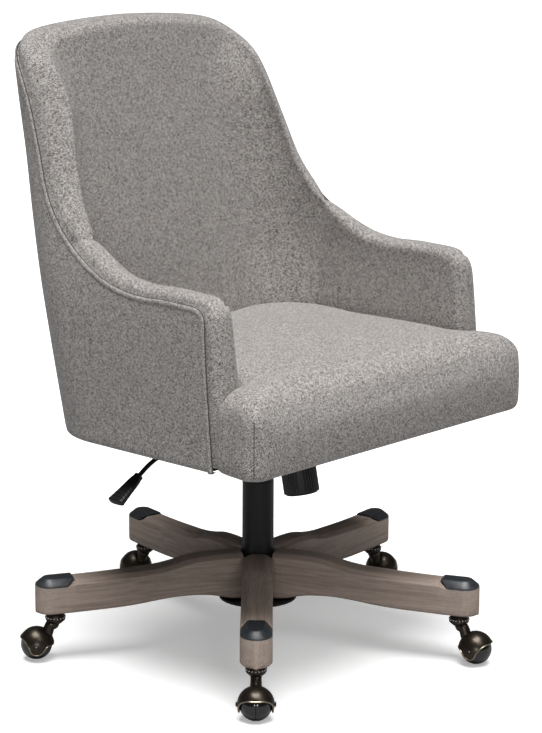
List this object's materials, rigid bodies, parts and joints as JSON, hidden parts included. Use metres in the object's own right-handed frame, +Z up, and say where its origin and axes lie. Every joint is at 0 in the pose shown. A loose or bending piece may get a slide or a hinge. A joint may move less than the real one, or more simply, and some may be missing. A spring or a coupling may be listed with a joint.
{
  "type": "swivel office chair",
  "caption": "Upholstered swivel office chair with wraparound arms and sloping wings, gas lift, tilt mechanism, wooden star base and hooded ball casters.",
  "frame": {"origin": "middle of the chair's footprint box, on the floor under the casters", "axes": "+Z up, the sitter faces -Y, +X is the sitter's left"},
  "size_m": [0.716, 0.7304, 0.975],
  "materials": {
    "upholstery": "warm grey heathered twill weave",
    "welt": "piping cord covered in the same weave",
    "plywood": "raw birch plywood",
    "dust_cloth": "thin black cloth",
    "black_steel": "satin black powder coat",
    "bright_steel": "ground steel",
    "spring_steel": "oiled spring steel",
    "black_plastic": "black moulded plastic",
    "grey_wood": "grey-washed open-grain wood, satin lacquer",
    "cap_plastic": "satin blue-black moulding",
    "bronze": "dark antique bronze, rubbed bright on the edges",
    "ball_black": "polished black"
  },
  "bodies": {
    "base": {"hub": "black_steel", "column_tube": "black_steel", "guide_bush": "black_plastic", "leg_front_right": "grey_wood", "leg_front_left": "grey_wood", "leg_left": "grey_wood", "leg_rear": "grey_wood", "leg_right": "grey_wood", "leg_cap_front_right": "cap_plastic", "leg_cap_front_left": "cap_plastic", "leg_cap_left": "cap_plastic", "leg_cap_rear": "cap_plastic", "leg_cap_right": "cap_plastic", "caster_stem_front_right": "bright_steel", "caster_stem_front_left": "bright_steel", "caster_stem_left": "bright_steel", "caster_stem_rear": "bright_steel", "caster_stem_right": "bright_steel"},
    "rod": {"piston_rod": "bright_steel", "thrust_bearing": "bright_steel"},
    "lift": {"gas_cylinder": "black_steel", "tilt_housing": "black_steel", "tilt_axle": "bright_steel", "tension_spring": "spring_steel"},
    "button": {"release_button": "bright_steel"},
    "tilt_lock": {"tilt_lock_block": "black_steel"},
    "lever": {"lever_rod": "black_steel", "lever_paddle": "black_plastic"},
    "knob": {"tension_knob": "black_plastic", "tension_bolt": "bright_steel"},
    "tension_bar": {"tension_bar": "black_steel"},
    "seat": {"seat_plate": "black_steel", "seat_frame": "plywood", "seat_cushion": "upholstery", "dust_cover": "dust_cloth", "outer_cover": "upholstery", "welt": "welt", "arm_frame_right": "plywood", "arm_frame_left": "plywood", "back_frame": "plywood", "arm_pad_right": "upholstery", "arm_pad_left": "upholstery", "arm_facing_right": "upholstery", "arm_facing_left": "upholstery", "back_cushion": "upholstery"},
    "caster_swivel_front_right": {"caster_hood_front_right": "bronze", "caster_axle_front_right": "bronze"},
    "caster_ball_front_right": {"caster_ball_front_right": "ball_black"},
    "caster_swivel_front_left": {"caster_hood_front_left": "bronze", "caster_axle_front_left": "bronze"},
    "caster_ball_front_left": {"caster_ball_front_left": "ball_black"},
    "caster_swivel_left": {"caster_hood_left": "bronze", "caster_axle_left": "bronze"},
    "caster_ball_left": {"caster_ball_left": "ball_black"},
    "caster_swivel_rear": {"caster_hood_rear": "bronze", "caster_axle_rear": "bronze"},
    "caster_ball_rear": {"caster_ball_rear": "ball_black"},
    "caster_swivel_right": {"caster_hood_right": "bronze", "caster_axle_right": "bronze"},
    "caster_ball_right": {"caster_ball_right": "ball_black"}
  },
  "joints": [
    {"name": "swivel", "type": "hinge", "parent": "base", "child": "rod", "pos_m": [-0.02415, -0.01155, 0.05999], "axis": [0, 0, 1], "continuous": true},
    {"name": "height", "type": "slide", "parent": "rod", "child": "lift", "axis": [0, 0, 1], "range_m": [-0.035, 0.045]},
    {"name": "seat_tilt", "type": "hinge", "parent": "lift", "child": "seat", "pos_m": [-0.02415, -0.03655, 0.34999], "axis": [-1, 0, 0], "range_deg": [0, 12], "stiffness_Nm_per_rad": 120, "springref_deg": -20.05},
    {"name": "tilt_lock", "type": "slide", "parent": "lift", "child": "tilt_lock", "axis": [-1, 0, 0], "range_m": [0, 0.008]},
    {"name": "lever_lift", "type": "hinge", "parent": "tilt_lock", "child": "lever", "pos_m": [-0.04615, -0.01155, 0.34199], "axis": [0, 1, 0], "range_deg": [0, 5], "stiffness_Nm_per_rad": 3, "springref_deg": -5.73},
    {"name": "button_press", "type": "slide", "parent": "lift", "child": "button", "axis": [0, 0, 1], "range_m": [-0.0029, 0]},
    {"name": "knob_turn", "type": "hinge", "parent": "lift", "child": "knob", "pos_m": [-0.02415, -0.10455, 0.25699], "axis": [0, 0.2079, 0.9781], "range_deg": [0, 1440]},
    {"name": "bar_slide", "type": "slide", "parent": "lift", "child": "tension_bar", "axis": [0, 0.2079, 0.9781], "range_m": [-0.0062, 0]},
    {"name": "caster_front_right_swivel", "type": "hinge", "parent": "base", "child": "caster_swivel_front_right", "pos_m": [-0.26784, -0.23407, 0.06599], "axis": [0, 0, 1], "continuous": true},
    {"name": "caster_front_right_roll", "type": "hinge", "parent": "caster_swivel_front_right", "child": "caster_ball_front_right", "pos_m": [-0.29, -0.2543, 0.02439], "axis": [0.6743, -0.7385, 0], "continuous": true},
    {"name": "caster_front_left_swivel", "type": "hinge", "parent": "base", "child": "caster_swivel_front_left", "pos_m": [0.11217, -0.31207, 0.06599], "axis": [0, 0, 1], "continuous": true},
    {"name": "caster_front_left_roll", "type": "hinge", "parent": "caster_swivel_front_left", "child": "caster_ball_front_left", "pos_m": [0.11912, -0.34126, 0.02439], "axis": [0.9728, 0.2317, 0], "continuous": true},
    {"name": "caster_left_swivel", "type": "hinge", "parent": "base", "child": "caster_swivel_left", "pos_m": [0.30379, 0.02524, 0.06599], "axis": [0, 0, 1], "continuous": true},
    {"name": "caster_left_roll", "type": "hinge", "parent": "caster_swivel_left", "child": "caster_ball_left", "pos_m": [0.3336, 0.02858, 0.02439], "axis": [-0.1115, 0.9938, 0], "continuous": true},
    {"name": "caster_rear_swivel", "type": "hinge", "parent": "base", "child": "caster_swivel_rear", "pos_m": [0.0422, 0.31171, 0.06599], "axis": [0, 0, 1], "continuous": true},
    {"name": "caster_rear_roll", "type": "hinge", "parent": "caster_swivel_rear", "child": "caster_ball_rear", "pos_m": [0.04824, 0.3411, 0.02439], "axis": [-0.9796, 0.2011, 0], "continuous": true},
    {"name": "caster_right_swivel", "type": "hinge", "parent": "base", "child": "caster_swivel_right", "pos_m": [-0.31109, 0.15145, 0.06599], "axis": [0, 0, 1], "continuous": true},
    {"name": "caster_right_roll", "type": "hinge", "parent": "caster_swivel_right", "child": "caster_ball_right", "pos_m": [-0.33317, 0.17176, 0.02439], "axis": [-0.6769, -0.7361, 0], "continuous": true}
  ],
  "couplings": [
    {"joint": "button_press", "follows": "lever_lift", "m_per_rad": -0.031},
    {"joint": "bar_slide", "follows": "knob_turn", "m_per_rad": -0.00023873}
  ]
}
